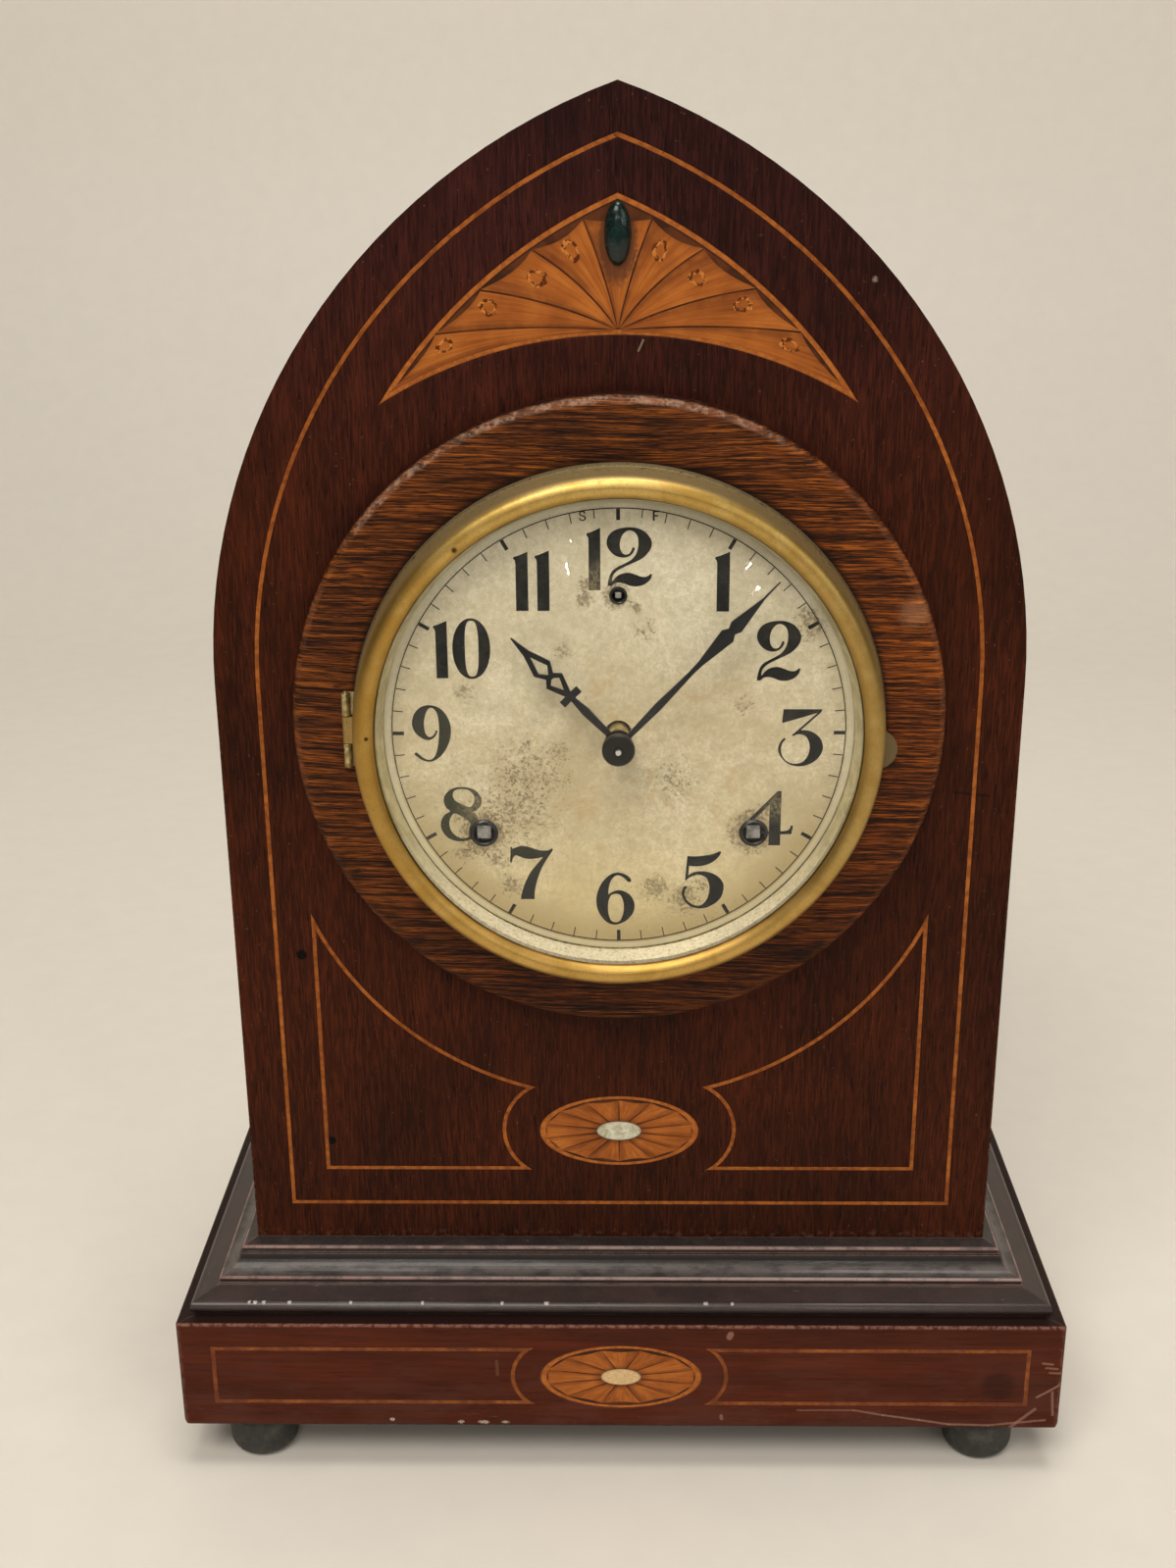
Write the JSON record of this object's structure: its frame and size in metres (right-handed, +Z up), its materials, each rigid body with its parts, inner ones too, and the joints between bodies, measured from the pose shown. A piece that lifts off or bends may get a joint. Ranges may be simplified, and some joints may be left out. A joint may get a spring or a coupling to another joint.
{
  "type": "shelf clock",
  "caption": "Lancet-top striking shelf clock: inlaid mahogany case on a moulded plinth, round brass bezel with domed glass, silvered dial, spring-driven pendulum movement, gong and rear door.",
  "frame": {"origin": "on the floor, under the centre of the whole clock", "axes": "+Z up, +X to the right as one faces the dial, +Y from the dial towards the back"},
  "size_m": [0.277, 0.141, 0.4155],
  "materials": {
    "mahogany_veneer": "satin french polish",
    "mahogany_sides": "satin french polish",
    "plinth_mahogany": "satin french polish, worn",
    "surround_rosewood": "satin polish",
    "carcass_wood": "matt",
    "satinwood_line": "satin",
    "marquetry": "satin",
    "green_cabochon": "polished",
    "pearl": "polished",
    "ebonised_wood": "worn satin",
    "foot_wood": "matt",
    "aged_brass": "aged satin",
    "pale_brass": "aged satin",
    "movement_brass": "satin",
    "silvered_dial": "aged matt silvering",
    "dark_brass": "dull",
    "steel": "satin",
    "spring_steel": "satin",
    "black_steel": "dull black",
    "gong_iron": "matt",
    "clear_glass": "polished"
  },
  "bodies": {
    "case": {"front_panel": "mahogany_veneer", "side_shell_left": "mahogany_sides", "side_shell_right": "mahogany_sides", "back_panel": "carcass_wood", "case_floor": "carcass_wood", "corner_blocks": "carcass_wood", "dial_surround": "surround_rosewood", "stringing": "satinwood_line", "fan_marquetry": "marquetry", "crown_cabochon": "green_cabochon", "oval_medallions": "marquetry", "pearl_centres": "pearl", "plinth_front": "plinth_mahogany", "plinth_carcass": "plinth_mahogany", "moulding_front": "ebonised_wood", "moulding_sides": "ebonised_wood", "feet": "foot_wood", "fixing_screws": "steel", "dial_pan": "aged_brass", "dial_disc": "silvered_dial", "dial_eyelets": "dark_brass", "hinge_pins": "steel", "door_hinge_plates": "aged_brass", "front_plate": "movement_brass", "back_plate": "movement_brass", "pillars": "movement_brass", "movement_posts": "movement_brass", "mainsprings": "spring_steel", "suspension_post": "movement_brass", "gong_stand": "gong_iron", "gong_coil": "gong_iron"},
    "bezel": {"bezel_ring": "aged_brass", "sight_ring": "pale_brass", "bezel_glass": "clear_glass"},
    "rear_door": {"back_door": "carcass_wood"},
    "button": {"turn_button": "aged_brass"},
    "minute": {"centre_arbor": "movement_brass", "cannon_pinion": "movement_brass", "minute_hand": "black_steel", "hand_nut": "black_steel"},
    "hour": {"hour_wheel": "movement_brass", "hour_hand": "black_steel"},
    "motion_wheel": {"minute_wheel": "movement_brass"},
    "time_great": {"time_great_wheel": "movement_brass"},
    "time_second": {"time_second_arbor": "movement_brass"},
    "time_third": {"time_third_arbor": "movement_brass"},
    "escape": {"escape_arbor": "movement_brass"},
    "anchor": {"verge": "steel"},
    "pendulum": {"pendulum_rod": "steel", "pendulum_bob": "movement_brass"},
    "time_winder": {"time_winding_arbor": "steel"},
    "strike_winder": {"strike_winding_arbor": "steel"},
    "strike_great": {"strike_great_wheel": "movement_brass"},
    "strike_second": {"strike_second_arbor": "movement_brass"},
    "strike_third": {"strike_third_arbor": "movement_brass"},
    "fly": {"strike_fly": "movement_brass"},
    "striker": {"hammer": "steel"},
    "regulator": {"regulator_arbor": "steel"},
    "rack": {"regulator_rack": "movement_brass"}
  },
  "joints": [
    {"name": "bezel_hinge", "type": "hinge", "parent": "case", "child": "bezel", "pos_m": [-0.0769, -0.04595, 0.244], "axis": [0, 0, -1], "range_deg": [0, 100]},
    {"name": "rear_door_hinge", "type": "hinge", "parent": "case", "child": "rear_door", "pos_m": [-0.0716, 0.0685, 0.1675], "axis": [0, 0, 1], "range_deg": [0, 110]},
    {"name": "button_turn", "type": "hinge", "parent": "case", "child": "button", "pos_m": [0.078, 0.0675, 0.19], "axis": [0, 1, 0], "range_deg": [0, 90]},
    {"name": "minute_hand_turn", "type": "hinge", "parent": "case", "child": "minute", "pos_m": [0, 0, 0.244], "axis": [0, 1, 0], "continuous": true},
    {"name": "hour_hand_turn", "type": "hinge", "parent": "case", "child": "hour", "pos_m": [0, 0, 0.244], "axis": [0, 1, 0], "continuous": true},
    {"name": "minute_wheel_spin", "type": "hinge", "parent": "case", "child": "motion_wheel", "pos_m": [0, 0, 0.232], "axis": [0, 1, 0], "continuous": true},
    {"name": "time_great_spin", "type": "hinge", "parent": "case", "child": "time_great", "pos_m": [0.0385, 0, 0.214], "axis": [0, 1, 0], "continuous": true},
    {"name": "time_second_spin", "type": "hinge", "parent": "case", "child": "time_second", "pos_m": [0.00366, 0, 0.2218], "axis": [0, 1, 0], "continuous": true},
    {"name": "time_third_spin", "type": "hinge", "parent": "case", "child": "time_third", "pos_m": [0.01781, 0, 0.25691], "axis": [0, 1, 0], "continuous": true},
    {"name": "escape_spin", "type": "hinge", "parent": "case", "child": "escape", "pos_m": [0, 0, 0.2595], "axis": [0, 1, 0], "continuous": true},
    {"name": "pendulum_swing", "type": "hinge", "parent": "case", "child": "pendulum", "pos_m": [0, 0, 0.2765], "axis": [0, 1, 0], "range_deg": [-4, 4]},
    {"name": "anchor_rock", "type": "hinge", "parent": "case", "child": "anchor", "pos_m": [0, 0, 0.2765], "axis": [0, 1, 0], "range_deg": [-4, 4]},
    {"name": "time_winding_turn", "type": "hinge", "parent": "case", "child": "time_winder", "pos_m": [0.0385, 0, 0.214], "axis": [0, 1, 0], "continuous": true},
    {"name": "strike_winding_turn", "type": "hinge", "parent": "case", "child": "strike_winder", "pos_m": [-0.0385, 0, 0.214], "axis": [0, 1, 0], "continuous": true},
    {"name": "strike_great_spin", "type": "hinge", "parent": "case", "child": "strike_great", "pos_m": [-0.0385, 0, 0.214], "axis": [0, 1, 0], "continuous": true},
    {"name": "strike_second_spin", "type": "hinge", "parent": "case", "child": "strike_second", "pos_m": [-0.02242, 0, 0.24587], "axis": [0, 1, 0], "continuous": true},
    {"name": "strike_third_spin", "type": "hinge", "parent": "case", "child": "strike_third", "pos_m": [-0.02596, 0, 0.26597], "axis": [0, 1, 0], "continuous": true},
    {"name": "fly_spin", "type": "hinge", "parent": "case", "child": "fly", "pos_m": [-0.02301, 0, 0.28271], "axis": [0, 1, 0], "continuous": true},
    {"name": "hammer_lift", "type": "hinge", "parent": "case", "child": "striker", "pos_m": [0, 0, 0.194], "axis": [0, 1, 0], "range_deg": [0, 25]},
    {"name": "regulator_turn", "type": "hinge", "parent": "case", "child": "regulator", "pos_m": [0, 0, 0.2834], "axis": [0, 1, 0], "range_deg": [-70, 70]},
    {"name": "rack_slide", "type": "slide", "parent": "case", "child": "rack", "axis": [0, 0, -1], "range_m": [-0.00274, 0.00274]}
  ],
  "couplings": [
    {"joint": "hour_hand_turn", "follows": "minute_hand_turn", "ratio": 0.083333},
    {"joint": "minute_wheel_spin", "follows": "minute_hand_turn", "ratio": -0.33333},
    {"joint": "time_great_spin", "follows": "minute_hand_turn", "ratio": 0.041667},
    {"joint": "time_second_spin", "follows": "minute_hand_turn", "ratio": -0.25},
    {"joint": "time_third_spin", "follows": "minute_hand_turn", "ratio": -10},
    {"joint": "escape_spin", "follows": "minute_hand_turn", "ratio": 90},
    {"joint": "anchor_rock", "follows": "pendulum_swing", "ratio": 1},
    {"joint": "strike_second_spin", "follows": "strike_great_spin", "ratio": -6},
    {"joint": "strike_third_spin", "follows": "strike_great_spin", "ratio": 45},
    {"joint": "fly_spin", "follows": "strike_great_spin", "ratio": -337.5},
    {"joint": "regulator_turn", "follows": "rack_slide", "rad_per_m": 444.44}
  ]
}
